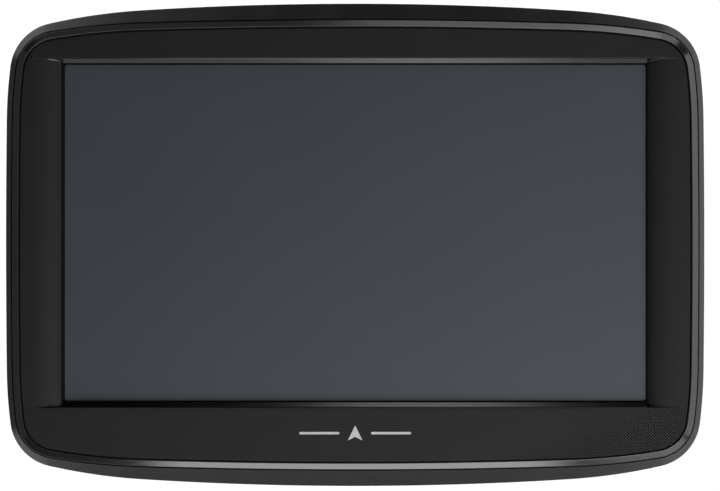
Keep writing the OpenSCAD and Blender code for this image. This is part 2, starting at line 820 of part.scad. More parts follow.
module grip_band() {
    valley = band_outer - 0.35;
    step = 360 / band_ribs;
    color([0.08, 0.08, 0.08])
        slab(ring_front + 0.4, ring_web + 0.9) difference() {
            polygon([for (i = [0 : band_ribs - 1])
                for (q = [[0, valley], [0.25, band_outer], [0.65, band_outer], [0.9, valley]])
                    q[1] * [cos((i + q[0]) * step), sin((i + q[0]) * step)]]);
            circle(r = ring_outer + 0.01, $fn = 360);
        }
}

module cup_puller() {
    color([0.75, 0.75, 0.72])
        difference() {
            union() {
                rod([0, 0], puller_r, puller_back - puller_t, puller_back, $fn = 64);
                rod([0, 0], stem_r, puller_back - eps, core_depth, $fn = 64);
                for (a = [90, 210, 330]) translate([0, y_of(puller_back - puller_t), 0])
                    rotate([0, -a, 0]) translate([puller_r - 2, 0, -lug_half])
                        cube([lug_r - puller_r + 2, puller_t, 2 * lug_half]);
            }
            for (a = [30, 150, 270])
                rod(post_ring * [cos(a), sin(a)], post_r + 0.08,
                    puller_back - puller_t - 1, puller_back + 1);
        }
}

module cup_core() {
    color([0.3, 0.3, 0.32]) rod([0, 0], core_r, core_depth + 0.01, core_depth + core_t, $fn = 64);
}

front_fascia();
trim_ring();
window_gasket();
touch_panel();
touch_flex();
lcd_cell();
lcd_backlight();
lcd_frame();
lcd_flex();
mid_frame();
main_board();
processor_shield();
radio_shield();
gps_antenna();
board_connectors();
board_components();
usb_socket();
card_socket();
battery();
battery_pad();
battery_lead();
battery_plug();
speaker_frame();
speaker_cone();
speaker_gasket();
speaker_mesh();
speaker_lead();
tact_switch();
light_pipe();
rear_housing();
case_screws();
board_screws();
power_key();
switch_plunger();
swivel_plate();
swivel_retainer();
retainer_screws();
wave_washer();
hinge_pin();
cup_housing();
hinge_bushes();
suction_cup();
lock_ring();
grip_band();
cup_puller();
cup_core();
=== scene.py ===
"""Portable satellite navigator with a fold-flat windscreen mount: the visual model round the CAD frame."""
import math

import bmesh
import bpy
import numpy as np
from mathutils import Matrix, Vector


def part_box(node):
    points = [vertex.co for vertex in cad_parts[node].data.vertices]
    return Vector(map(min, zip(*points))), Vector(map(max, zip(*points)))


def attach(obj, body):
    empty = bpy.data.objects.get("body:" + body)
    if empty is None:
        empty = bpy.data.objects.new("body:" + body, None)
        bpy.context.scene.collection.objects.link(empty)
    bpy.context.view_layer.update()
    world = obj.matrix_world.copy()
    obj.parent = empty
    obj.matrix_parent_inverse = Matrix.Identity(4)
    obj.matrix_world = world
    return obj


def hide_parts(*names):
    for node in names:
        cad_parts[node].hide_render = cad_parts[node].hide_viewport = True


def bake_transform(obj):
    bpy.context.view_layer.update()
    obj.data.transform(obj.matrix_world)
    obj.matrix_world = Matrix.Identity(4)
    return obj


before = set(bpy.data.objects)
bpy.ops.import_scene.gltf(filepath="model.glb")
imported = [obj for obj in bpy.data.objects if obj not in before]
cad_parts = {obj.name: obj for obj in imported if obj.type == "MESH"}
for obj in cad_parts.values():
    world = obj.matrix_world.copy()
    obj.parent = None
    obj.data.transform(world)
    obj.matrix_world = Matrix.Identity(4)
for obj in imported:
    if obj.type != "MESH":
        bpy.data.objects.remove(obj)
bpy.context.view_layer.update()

MM = 0.001


# ---------------------------------------------------------------- sizes, from the frame

def box_mm(node):
    """A node's box at rest, in millimetres."""
    low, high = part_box(node)
    return np.array(low) / MM, np.array(high) / MM


FASCIA = box_mm("front_fascia")
TRIM = box_mm("trim_ring")
HOUSING = box_mm("rear_housing")
PANEL = box_mm("touch_panel")
KEY = box_mm("power_key")
RING = box_mm("lock_ring")
BAND = box_mm("grip_band")
CUP = box_mm("suction_cup")
SOCKET = box_mm("usb_socket")
CARD = box_mm("card_socket")
SPEAKER = box_mm("speaker_frame")
PIPE = box_mm("light_pipe")
SCREWS = box_mm("case_screws")
FRONT = TRIM[0][1]          # y of the frontmost plane; depths count from here toward +Y
BACK = HOUSING[1][1] - FRONT

# A quarter of an outline is five tangent arcs: crown, shoulder, corner, cheek and side. A shape is
# [half width, half height, shoulder radius, corner radius, cheek radius, headings at the four joints],
# in millimetres and degrees.
BODY_HEADINGS = (3.7, 13, 82.8, 89.3)
FACE_HEADINGS = (1.8, 9.5, 82.6, 89.2)
ROUND_INSET = 9.5           # how far the flat back stays inside the body's outline
BODY_SHAPE = np.array([HOUSING[1][0], HOUSING[1][2], 113, 10, 94, *BODY_HEADINGS])
FACE_SHAPE = np.array([FASCIA[1][0], FASCIA[1][2], 134, 6.6, 91, *FACE_HEADINGS])
BACK_SHAPE = np.array([BODY_SHAPE[0] - ROUND_INSET, BODY_SHAPE[1] - ROUND_INSET, 110, 5.5, 90,
                       *BODY_HEADINGS])
OFFSET = np.array([1, 1, 1, 1, 1, 0, 0, 0, 0])      # added to a shape, it grows the outline by 1 mm
TRIM_W = TRIM[1][0] - FASCIA[1][0]

WINDOW_HALF = np.array([58.15, 33.75])
WINDOW_Z = 2.4
STRIP_DEPTH = 0.4           # flat strips over and under the screen
WINDOW_DEPTH = 1.9          # edge of the window
FASCIA_BACK = 2.5
SIDE_ROLL = 6.5             # width of the rolled slope of a side panel
WALL_RUN = 1.05             # how far the trough's sloping walls reach in from their top edge
WALL_DROP = 0.8             # how deep those walls' slopes go
EDGE_SHINE = 0.36           # width of the smooth strip along the left panel's inner edge
WALL = 1.8                  # thickness of the housing
CHAMFER = 56                # degrees between the chamfer's normal and the camera
RIM = 1.1                   # depth of the housing's front rim
SEAM = 0.17                 # gap between the trim and the housing
WIDEST = 9.0                # depth where the housing is widest
ROUNDING = 13.0             # depth where the back's rounding starts
LATTICE_PITCH = 0.57        # along x
LATTICE_TOP = -32.6         # z where the lattice starts and ends
LATTICE_END = -43.3
CARD_X = 17                 # where the walls' bright reflection is centred
RECESS_R = 36.6             # round pocket for the mount
RECESS_DEPTH = 15.3
BOSS_HOLE = 8.05            # radius of the hole for the swivel boss
SCREW_RIM = 1.9             # from a case screw's centre to the edge of their box


# ---------------------------------------------------------------- geometry helpers

STEPS = (24, 18, 22, 10, 12)            # points along each of a quarter's five arcs
FINE_STEPS = (160, 80, 120, 40, 40)


def arc_radii(shape):
    """Radii of a shape's five arcs. The crown and the side radius follow from its size."""
    half_w, half_h, shoulder, corner, cheek = shape[:5]
    h1, h2, h3, h4 = np.radians(shape[5:])
    across = half_w - shoulder * (math.sin(h2) - math.sin(h1)) - corner * (math.sin(h3) - math.sin(h2)) \
        - cheek * (math.sin(h4) - math.sin(h3))
    down = half_h - shoulder * (math.cos(h1) - math.cos(h2)) - corner * (math.cos(h2) - math.cos(h3)) \
        - cheek * (math.cos(h3) - math.cos(h4))
    both = [[math.sin(h1), 1 - math.sin(h4)], [1 - math.cos(h1), math.cos(h4)]]
    crown, side = np.linalg.solve(both, [across, down])
    return [crown, shoulder, corner, cheek, side]


def quarter(shape, steps):
    """Quarter outline from the middle of the top to the middle of the right side."""
    headings = np.radians([0, *shape[5:], 90])
    point = np.array([0.0, shape[1]])
    points = []
    for radius, start, end, count in zip(arc_radii(shape), headings, headings[1:], steps):
        t = start + (end - start) * np.arange(count + 1)[:, None] / count
        step = radius * np.hstack([np.sin(t) - math.sin(start), np.cos(t) - math.cos(start)])
        points.append(point + step[:-1])
        point = point + step[-1]
    return np.vstack(points + [[point]])


def outline(shape, grow=0.0, steps=STEPS):
    """Whole outline in x and z, clockwise as seen from the front."""
    q = quarter(np.asarray(shape, float) + grow * OFFSET, steps)
    return np.vstack([q, q[-2::-1] * [1, -1], q[1:] * [-1, -1], q[-2:0:-1] * [-1, 1]])


def outline_at(shape, grow, angles):
    """Outline points at given polar angles."""
    p = outline(shape, grow, FINE_STEPS)
    a = np.arctan2(p[:, 1], p[:, 0])
    order = np.argsort(a)
    a, r = a[order], np.hypot(p[:, 0], p[:, 1])[order]
    radius = np.interp(angles, a, r, period=2 * math.pi)
    return np.column_stack([radius * np.cos(angles), radius * np.sin(angles)])


def at(depth, points):
    """x, z points at one depth, or at a depth each."""
    points = np.asarray(points, float)
    return np.column_stack([points[:, 0], np.full(len(points), depth), points[:, 1]])


def loft(rings, closed=False, caps=True):
    """Quads through equal rings of x, depth, z points."""
    n, count = len(rings[0]), len(rings)
    faces = []
    for i in range(count if closed else count - 1):
        a, b = i * n, (i + 1) % count * n
        faces += [(a + j, a + (j + 1) % n, b + (j + 1) % n, b + j) for j in range(n)]
    if caps and not closed:
        faces += [tuple(range(n))[::-1], tuple(range((count - 1) * n, count * n))]
    return np.vstack(rings), faces


def turned(profile, steps=96, centre=(0, 0)):
    """Solid of revolution about Y from radius, depth points. A radius of 0 closes an end."""
    angles = np.arange(steps) * 2 * math.pi / steps
    rings = [np.column_stack([centre[0] + r * np.cos(angles), np.full(steps, d),
                              centre[1] + r * np.sin(angles)])
             for r, d in profile]
    return loft(rings)


def fillet(points, radius, steps=5):
    """Rounds the corners of an open profile of [a, b] points. radius is one value or one for each corner."""
    points = np.asarray(points, float)
    out = [points[0]]
    radii = np.broadcast_to(radius, len(points) - 2)
    for i, r in enumerate(radii):
        before, corner, after = points[i], points[i + 1], points[i + 2]
        to_before, to_after = before - corner, after - corner
        cut = min(r, 0.45 * np.linalg.norm(to_before), 0.45 * np.linalg.norm(to_after))
        start = corner + cut * to_before / np.linalg.norm(to_before)
        end = corner + cut * to_after / np.linalg.norm(to_after)
        for t in np.linspace(0, 1, steps + 1):
            out.append((1 - t) ** 2 * start + 2 * t * (1 - t) * corner + t * t * end)
    out.append(points[-1])
    return np.array(out)


def prism(points, front, back):
    """Straight plate with an outline of x, z points between two depths."""
    return loft([at(front, points), at(back, points)])


def merge(parts):
    """Joins several (vertices, faces) pairs."""
    verts, faces, offset = [], [], 0
    for v, f in parts:
        verts.append(np.asarray(v, float))
        faces += [tuple(offset + i for i in face) for face in f]
        offset += len(v)
    return np.vstack(verts), faces


def finished(bm, name, materials, body, replaces=(), slot=None, angle=32):
    """Turns a bmesh in frame metres into a smooth-shaded piece on a body."""
    bmesh.ops.remove_doubles(bm, verts=bm.verts, dist=2e-7)
    bmesh.ops.recalc_face_normals(bm, faces=bm.faces)
    mesh = bpy.data.meshes.new(name)
    bm.to_mesh(mesh)
    bm.free()
    mesh.shade_smooth()
    mesh.set_sharp_from_angle(angle=math.radians(angle))
    obj = bpy.data.objects.new(name, mesh)
    bpy.context.scene.collection.objects.link(obj)
    for m in materials:
        mesh.materials.append(m)
    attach(obj, body)
    if replaces:
        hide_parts(*replaces)
    return obj


def to_bmesh(geometry):
    """Millimetre x, depth, z vertices and faces as a bmesh in frame metres."""
    verts, faces = geometry
    bm = bmesh.new()
    made = [bm.verts.new((x * MM, (FRONT + d) * MM, z * MM)) for x, d, z in verts]
    for face in faces:
        corners = [made[i] for i in face]
        if len(set(corners)) > 2:
            try:
                bm.faces.new(corners)
            except ValueError:
                pass
    return bm


def piece(name, geometry, materials, body, **options):
    return finished(to_bmesh(geometry), name, materials, body, **options)


def cutter(geometry):
    """Hidden mesh for a boolean."""
    bm = to_bmesh(geometry)
    bmesh.ops.recalc_face_normals(bm, faces=bm.faces)
    mesh = bpy.data.meshes.new("cutter")
    bm.to_mesh(mesh)
    bm.free()
    obj = bpy.data.objects.new("cutter", mesh)
    bpy.context.scene.collection.objects.link(obj)
    return obj


def apply_modifiers(obj):
    bpy.context.view_layer.update()
    graph = bpy.context.evaluated_depsgraph_get()
    mesh = bpy.data.meshes.new_from_object(obj.evaluated_get(graph), depsgraph=graph)
    obj.modifiers.clear()
    old = obj.data
    obj.data = mesh
    bpy.data.meshes.remove(old)


def cut(obj, geometries, angle=32):
    """Cuts solids out of a piece, one exact boolean for all of them."""
    tool = cutter(merge(geometries))
    mod = obj.modifiers.new("cut", "BOOLEAN")
    mod.operation, mod.solver, mod.object = "DIFFERENCE", "EXACT", tool
    apply_modifiers(obj)
    bpy.data.objects.remove(tool)
    obj.data.shade_smooth()
    obj.data.set_sharp_from_angle(angle=math.radians(angle))


def weighted(obj):
    """Flat faces keep flat shading next to their rounded edges."""
    mod = obj.modifiers.new("weighted", "WEIGHTED_NORMAL")
    mod.keep_sharp = True
    mod.weight = 80


# ---------------------------------------------------------------- materials

def ramp_between(nodes, links, source, low, high, out_low, out_high):
    node = nodes.new("ShaderNodeMapRange")
    node.inputs["From Min"].default_value, node.inputs["From Max"].default_value = low, high
    node.inputs["To Min"].default_value, node.inputs["To Max"].default_value = out_low, out_high
    links.new(source, node.inputs["Value"])
    return node.outputs["Result"]


def noise(nodes, links, vector, size_mm, detail=2.0, stretch=None):
    """Noise whose features are about size_mm across."""
    if stretch:
        mapping = nodes.new("ShaderNodeMapping")
        mapping.inputs["Scale"].default_value = stretch
        links.new(vector, mapping.inputs["Vector"])
        vector = mapping.outputs["Vector"]
    node = nodes.new("ShaderNodeTexNoise")
    node.inputs["Scale"].default_value = 1000 / size_mm
    node.inputs["Detail"].default_value = detail
    links.new(vector, node.inputs["Vector"])
    return node.outputs["Fac"]


def material(name, color, roughness, metallic=0.0, grain=0.12, height=0.01, mottle=7.0, spread=0.12,
             rough_spread=0.06, tint=None, stretch=None, ior=1.5, specular=0.5, coat=0.0, sheen=0.0):
    """Procedural finish: moulded or cut grain in the bump, and cloudy colour and roughness over it.

    grain and mottle are feature sizes and height is the grain's depth, all in millimetres."""
    mat = bpy.data.materials.new(name)
    mat.use_nodes = True
    nodes, links = mat.node_tree.nodes, mat.node_tree.links
    shader = nodes["Principled BSDF"]
    shader.inputs["Metallic"].default_value = metallic
    shader.inputs["IOR"].default_value = ior
    shader.inputs["Specular IOR Level"].default_value = specular
    shader.inputs["Coat Weight"].default_value = coat
    shader.inputs["Coat Roughness"].default_value = 0.12
    shader.inputs["Sheen Weight"].default_value = sheen
    where = nodes.new("ShaderNodeTexCoord").outputs["Object"]
    clouds = noise(nodes, links, where, mottle, 3.0)
    fine = noise(nodes, links, where, grain, stretch=stretch)
    color = np.array(color, float)
    other = np.array(tint if tint is not None else color, float)
    mix = nodes.new("ShaderNodeMix")
    mix.data_type = "RGBA"
    mix.inputs["A"].default_value = (*np.clip(color * (1 - spread), 0, 1), 1)
    mix.inputs["B"].default_value = (*np.clip(other * (1 + spread), 0, 1), 1)
    links.new(ramp_between(nodes, links, clouds, 0.3, 0.7, 0, 1), mix.inputs["Factor"])
    links.new(mix.outputs["Result"], shader.inputs["Base Color"])
    add = nodes.new("ShaderNodeMath")
    add.operation = "ADD"
    links.new(clouds, add.inputs[0])
    links.new(fine, add.inputs[1])
    rough = ramp_between(nodes, links, add.outputs["Value"], 0.6, 1.4,
                         max(0.02, roughness - rough_spread), min(1, roughness + rough_spread))
    links.new(rough, shader.inputs["Roughness"])
    bump = nodes.new("ShaderNodeBump")
    bump.inputs["Strength"].default_value = 1.0
    bump.inputs["Distance"].default_value = height * MM
    links.new(fine, bump.inputs["Height"])
    links.new(bump.outputs["Normal"], shader.inputs["Normal"])
    return mat


def reckon(nodes, links, operation, *values):
    """Output of a math node over sockets or plain numbers."""
    node = nodes.new("ShaderNodeMath")
    node.operation = operation
    for socket, value in zip(node.inputs, values):
        if isinstance(value, (int, float)):
            socket.default_value = value
        else:
            links.new(value, socket)
    return node.outputs["Value"]


def lattice_share(nodes, links, x, z):
    """How strong the moulded lattice and its painted shade and highlight are: full in the lower right
    corner, faint in the upper right one.
    """
    start_x, reach, bend = 52, 30, 1.4      # left border at the top, how far it swings left, and its power
    fade, ease = 13, 0.5                    # width of the fade-in, and its power
    upper_start, upper_full, upper_share, upper_z = 52, 64, 0.3, 37.5
    down = ramp_between(nodes, links, z, LATTICE_TOP * MM, LATTICE_END * MM, 0, 1)
    border = reckon(nodes, links, "MULTIPLY", reckon(nodes, links, "POWER", down, bend), -reach * MM)
    border = reckon(nodes, links, "ADD", border, start_x * MM)
    under = reckon(nodes, links, "DIVIDE", reckon(nodes, links, "SUBTRACT", x, border), fade * MM)
    under = reckon(nodes, links, "POWER", reckon(nodes, links, "MAXIMUM", under, 0.0), ease)
    under = reckon(nodes, links, "MINIMUM", under, 1.0)
    under = reckon(nodes, links, "MULTIPLY", under, reckon(nodes, links, "LESS_THAN", z, LATTICE_TOP * MM))
    over = ramp_between(nodes, links, x, upper_start * MM, upper_full * MM, 0, upper_share)
    over = reckon(nodes, links, "MULTIPLY", over, reckon(nodes, links, "GREATER_THAN", z, upper_z * MM))
    return reckon(nodes, links, "ADD", under, over)


def add_lattice(mat):
    """Fine moulded lattice: ridges crossing at 45 degrees round diamond dimples in the bump, with painted
    highlight on the ridges and painted shade in the dimples.
    """
    ridge, flank = 0.1, 0.26                # in pitches: a ridge's half width, and where a dimple is full
    # painted highlight on the ridges and painted shade in the dimples: these shares raise and lower the base
    # colour and the specular level
    ridge_painted_highlight, dimple_painted_shade = 0.6, 1.5
    relief, strength = 0.05, 0.5            # millimetres, and share of the full bump
    nodes, links = mat.node_tree.nodes, mat.node_tree.links
    shader = nodes["Principled BSDF"]
    split = nodes.new("ShaderNodeSeparateXYZ")
    links.new(nodes.new("ShaderNodeTexCoord").outputs["Object"], split.inputs["Vector"])
    x, z = split.outputs["X"], split.outputs["Z"]
    waves = []
    for operation in ("ADD", "SUBTRACT"):
        along = reckon(nodes, links, "DIVIDE", reckon(nodes, links, operation, x, z), LATTICE_PITCH * MM)
        waves.append(reckon(nodes, links, "PINGPONG", along, 0.5))
    inside = reckon(nodes, links, "MINIMUM", *waves)
    dimple = ramp_between(nodes, links, inside, ridge, flank, 0, 1)
    share = lattice_share(nodes, links, x, z)
    level = reckon(nodes, links, "ADD", reckon(nodes, links, "MULTIPLY", dimple, -dimple_painted_shade), ridge_painted_highlight)
    level = reckon(nodes, links, "ADD", reckon(nodes, links, "MULTIPLY", level, share), 1.0)
    # painted shade and highlight: the base colour and the specular level are scaled by the lattice's level
    scaled = nodes.new("ShaderNodeVectorMath")
    scaled.operation = "SCALE"
    links.new(shader.inputs["Base Color"].links[0].from_socket, scaled.inputs[0])
    links.new(level, scaled.inputs["Scale"])
    links.new(scaled.outputs["Vector"], shader.inputs["Base Color"])
    plain = shader.inputs["Specular IOR Level"].default_value
    links.new(reckon(nodes, links, "MULTIPLY", level, plain), shader.inputs["Specular IOR Level"])
    bump = nodes.new("ShaderNodeBump")
    bump.invert = True
    bump.inputs["Strength"].default_value = strength
    bump.inputs["Distance"].default_value = relief * MM
    links.new(reckon(nodes, links, "MULTIPLY", dimple, share), bump.inputs["Height"])
    links.new(shader.inputs["Normal"].links[0].from_socket, bump.inputs["Normal"])
    links.new(bump.outputs["Normal"], shader.inputs["Normal"])


fascia_plastic = material("fascia_plastic", (0.0115, 0.0114, 0.0108), 0.52, grain=0.1, height=0.006,
                          spread=0.08, specular=0.3)
# lattice in the bump, with painted shade in its dimples and painted highlight on its ridges
add_lattice(fascia_plastic)
trough_plastic = material("trough_plastic", (0.001, 0.001, 0.001), 0.13, grain=0.2, height=0.0004,
                          spread=0.05, rough_spread=0.02)
trim_plastic = material("trim_plastic", (0.02, 0.02, 0.0205), 0.13, grain=0.5, height=0.0004, spread=0.06,
                        rough_spread=0.02, ior=1.7, specular=1.0)
housing_plastic = material("housing_plastic", (0.017, 0.0169, 0.0167), 0.32, grain=0.14, height=0.009,
                           spread=0.1, specular=0.42)
key_plastic = material("key_plastic", (0.03, 0.03, 0.03), 0.42, grain=0.12, height=0.006)
screen_film = material("screen_film", (0.054, 0.063, 0.078), 0.42, grain=0.05, height=0.0012, mottle=30,
                       spread=0.03, rough_spread=0.03)
# near black border of the touch panel: painted shadow for the gap between the window's edge and the screen
painted_gap_shadow = material("painted_gap_shadow", (0.001, 0.001, 0.001), 0.5, grain=0.1, height=0.001, specular=0.1)
gasket_foam = material("gasket_foam", (0.006, 0.006, 0.006), 0.9, grain=0.25, height=0.05)
white_ink = material("white_ink", (0.72, 0.72, 0.71), 0.5, grain=0.08, height=0.004, mottle=0.6, spread=0.05)
cup_rubber = material("cup_rubber", (0.014, 0.014, 0.0145), 0.3, grain=0.9, height=0.002, rough_spread=0.03)
band_rubber = material("band_rubber", (0.013, 0.013, 0.013), 0.7, grain=0.12, height=0.012)
mount_plastic = material("mount_plastic", (0.024, 0.024, 0.0245), 0.45, grain=0.15, height=0.01)
cell_glass = material("cell_glass", (0.02, 0.024, 0.028), 0.12, grain=0.6, height=0.0004, mottle=25)
light_film = material("light_film", (0.75, 0.75, 0.72), 0.4, grain=0.3, height=0.002, spread=0.03)
tray_steel = material("tray_steel", (0.55, 0.56, 0.57), 0.32, metallic=1, grain=0.2, height=0.002,
                      stretch=(1, 1, 12), spread=0.06)
flex_film = material("flex_film", (0.5, 0.2, 0.03), 0.28, grain=1.4, height=0.002,
                     tint=(0.6, 0.28, 0.06), coat=0.4)
chassis_plastic = material("chassis_plastic", (0.045, 0.045, 0.047), 0.55, grain=0.3, height=0.012)
solder_mask = material("solder_mask", (0.006, 0.075, 0.028), 0.28, grain=0.7, height=0.012, mottle=2.2,
                       spread=0.25, coat=0.5)
shield_tin = material("shield_tin", (0.6, 0.6, 0.58), 0.3, metallic=1, grain=0.35, height=0.002, spread=0.08)
patch_ceramic = material("patch_ceramic", (0.66, 0.58, 0.4), 0.6, grain=0.25, height=0.01)
nylon = material("nylon", (0.68, 0.64, 0.5), 0.45, grain=0.3, height=0.006)
chip_epoxy = material("chip_epoxy", (0.018, 0.018, 0.018), 0.6, grain=0.12, height=0.008)
socket_nickel = material("socket_nickel", (0.62, 0.61, 0.58), 0.24, metallic=1, grain=0.3, height=0.002)
switch_nylon = material("switch_nylon", (0.03, 0.03, 0.03), 0.5, grain=0.2, height=0.006)
cell_foil = material("cell_foil", (0.42, 0.44, 0.5), 0.34, metallic=0.85, grain=1.6, height=0.02, spread=0.1)
pad_foam = material("pad_foam", (0.55, 0.55, 0.5), 0.9, grain=0.35, height=0.06)
wire_red = material("wire_red", (0.32, 0.015, 0.012), 0.4, grain=0.4, height=0.004)
speaker_steel = material("speaker_steel", (0.06, 0.06, 0.062), 0.35, metallic=0.6, grain=0.3, height=0.004)
cone_pulp = material("cone_pulp", (0.02, 0.02, 0.02), 0.8, grain=0.3, height=0.03)
mesh_cloth = material("mesh_cloth", (0.01, 0.01, 0.01), 0.85, grain=0.18, height=0.05, sheen=0.3)
clear_pipe = material("clear_pipe", (0.55, 0.6, 0.64), 0.1, grain=0.8, height=0.001, ior=1.49)
clear_pipe.node_tree.nodes["Principled BSDF"].inputs["Transmission Weight"].default_value = 0.6
black_screw = material("black_screw", (0.09, 0.09, 0.092), 0.36, metallic=1, grain=0.12, height=0.003)
bright_screw = material("bright_screw", (0.56, 0.57, 0.58), 0.28, metallic=1, grain=0.12, height=0.002)
acetal = material("acetal", (0.62, 0.62, 0.58), 0.4, grain=0.4, height=0.003)
spring_steel = material("spring_steel", (0.58, 0.59, 0.6), 0.25, metallic=1, grain=0.15, height=0.002,
                        stretch=(1, 14, 1))
ground_pin = material("ground_pin", (0.6, 0.61, 0.63), 0.2, metallic=1, grain=0.08, height=0.001,
                      stretch=(20, 1, 1))
turned_brass = material("turned_brass", (0.6, 0.4, 0.13), 0.3, metallic=1, grain=0.1, height=0.002,
                        stretch=(14, 1, 1))
core_plastic = material("core_plastic", (0.06, 0.06, 0.06), 0.5, grain=0.2, height=0.01)

CARRIED = {
    "window_gasket": gasket_foam, "touch_flex": flex_film, "lcd_cell": cell_glass,
    "lcd_backlight": light_film, "lcd_frame": tray_steel, "lcd_flex": flex_film,
    "mid_frame": chassis_plastic, "main_board": solder_mask,
    "processor_shield": shield_tin, "radio_shield": shield_tin, "gps_antenna": patch_ceramic,
    "board_connectors": nylon, "board_components": chip_epoxy, "usb_socket": socket_nickel,
    "card_socket": socket_nickel, "battery": cell_foil, "battery_pad": pad_foam, "battery_lead": wire_red,
    "battery_plug": nylon, "speaker_frame": speaker_steel, "speaker_cone": cone_pulp,
    "speaker_gasket": gasket_foam, "speaker_mesh": mesh_cloth, "speaker_lead": wire_red,
    "tact_switch": switch_nylon, "light_pipe": clear_pipe,
    "case_screws": black_screw, "board_screws": bright_screw, "switch_plunger": acetal,
    "swivel_plate": mount_plastic, "swivel_retainer": spring_steel, "retainer_screws": bright_screw,
    "wave_washer": spring_steel, "hinge_pin": ground_pin, "cup_housing": mount_plastic,
    "hinge_bushes": turned_brass, "lock_ring": mount_plastic, "cup_puller": acetal, "cup_core": core_plastic,
}
SOFTENED = {"swivel_plate": 0.25, "cup_housing": 0.25, "lock_ring": 0.3, "mid_frame": 0.15, "battery": 0.3,
            "usb_socket": 0.08, "card_socket": 0.06, "case_screws": 0.1, "hinge_pin": 0.15,
            "cup_puller": 0.15, "processor_shield": 0.15, "radio_shield": 0.15,
            "board_connectors": 0.1, "board_components": 0.08}      # bevels, in millimetres


def carry_over():
    """Gives each CAD node that stays its material, and soft edges where they would be moulded or tumbled."""
    for node, finish in CARRIED.items():
        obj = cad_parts[node]
        obj.data.materials.clear()
        obj.data.materials.append(finish)
        if node in SOFTENED:
            bevel = obj.modifiers.new("soft_edges", "BEVEL")
            bevel.width = SOFTENED[node] * MM
            bevel.segments = 2
            bevel.limit_method = "ANGLE"
            bevel.angle_limit = math.radians(40)
            bevel.harden_normals = False


# ---------------------------------------------------------------- fascia

def roll_height(t):
    """Height of a side panel, 0 at the window to 1 at the strips' level, t mm out from the window."""
    s = np.clip(1 - t / SIDE_ROLL, 0, 1)
    return np.sqrt(1 - s * s)


def trough_side(x, up):
    """Half column of the trough at x, from the flat strip in to the panel or the window's lip.

    Returns x, depth, z points. up is +1 for the half above the screen and -1 for the one below."""
    full = WINDOW_DEPTH - STRIP_DEPTH
    margin, ease, foot_ease = 0.4, 0.4, 0.08    # flat strip kept beside the edge, and the corners' radii
    middle = abs(x) <= WINDOW_HALF[0]
    drop = full if middle else full * (1 - roll_height(abs(x) - WINDOW_HALF[0]))
    edge = WINDOW_HALF[1] + WALL_RUN
    foot = edge - WALL_RUN * drop / full
    if abs(x) < WINDOW_HALF[0]:
        drop = WALL_DROP
        last = [foot, FASCIA_BACK]
    else:
        foot_ease = ease
        last = [foot - margin, STRIP_DEPTH + drop]
    corners = [[edge + margin, STRIP_DEPTH], [edge, STRIP_DEPTH], [foot, STRIP_DEPTH + drop + 1e-4], last]
    profile = fillet(corners, [ease, foot_ease], 4)
    return np.column_stack([np.full(len(profile), x), profile[:, 1], WINDOW_Z + up * profile[:, 0]])


def fascia_columns():
    """x of every column across the trough: the side rolls are finest next to the window."""
    turn = np.linspace(0, math.pi / 2, 20)
    roll = WINDOW_HALF[0] + SIDE_ROLL * (1 - np.cos(turn))
    centre = np.linspace(-WINDOW_HALF[0] + 0.02, WINDOW_HALF[0] - 0.02, 117)
    return -roll[::-1], centre, roll


def trough():
    """Walls above and below the screen, and the rolled side panels, as quads."""
    left, centre, right = fascia_columns()
    parts = []
    for xs in (left, centre, right):
        for up in (1, -1):
            rings = [trough_side(x, up) for x in xs]
            n = len(rings[0])
            faces = [(i * n + j, i * n + j + 1, (i + 1) * n + j + 1, (i + 1) * n + j)
                     for i in range(len(xs) - 1) for j in range(n - 1)]
            parts.append((np.vstack(rings), faces))
    # the narrow columns where the side panels meet the middle
    for up in (1, -1):
        for inner, outer in ((centre[0], left[-1]), (centre[-1], right[0])):
            a, b = trough_side(inner, up), trough_side(outer, up)
            n = len(a)
            parts.append((np.vstack([a, b]), [(j, j + 1, n + j + 1, n + j) for j in range(n - 1)]))
    rows = 60
    for xs in (left, right):
        columns = []
        for x in xs:
            top, bottom = trough_side(x, 1)[-1], trough_side(x, -1)[-1]
            t = np.linspace(0, 1, rows + 1)[:, None]
            columns.append(top + (bottom - top) * t)
        n = rows + 1
        faces = [(i * n + j, i * n + j + 1, (i + 1) * n + j + 1, (i + 1) * n + j)
                 for i in range(len(xs) - 1) for j in range(rows)]
        parts.append((np.vstack(columns), faces))
        # lip of the window along its side
        edge = columns[-1] if xs is left else columns[0]
        lip = edge.copy()
        lip[:, 1] = FASCIA_BACK
        parts.append((np.vstack([edge, lip]), [(j, j + 1, n + j + 1, n + j) for j in range(rows)]))
    return merge(parts)


def boundary_loops(bm):
    """Closed loops of a mesh's open edges, each an ordered list of vertices, the same in every run."""
    open_edges = dict.fromkeys(e for e in bm.edges if e.is_boundary)
    loops = []
    while open_edges:
        edge = open_edges.popitem()[0]
        chain = [edge.verts[0], edge.verts[1]]
        while True:
            step = next((e for e in chain[-1].link_edges if e in open_edges), None)
            if step is None:
                break
            del open_edges[step]
            nxt = step.other_vert(chain[-1])
            if nxt is chain[0]:
                break
            chain.append(nxt)
        loops.append(chain)
    return loops


def smooth_area(face):
    """Whether a face of the fascia belongs to the trough's smooth walls or the left panel's inner edge."""
    flattest, least_tilt, slack = 0.985, 0.1, 0.05
    centre = face.calc_center_median() / MM
    height = abs(centre.z - WINDOW_Z)
    tilted = abs(face.normal.y) < flattest and abs(face.normal.z) > least_tilt
    wall = tilted and centre.y - FRONT < FASCIA_BACK and height < WINDOW_HALF[1] + WALL_RUN + slack
    edge = -WINDOW_HALF[0] - EDGE_SHINE < centre.x < -WINDOW_HALF[0] and height < WINDOW_HALF[1]
    return wall or edge


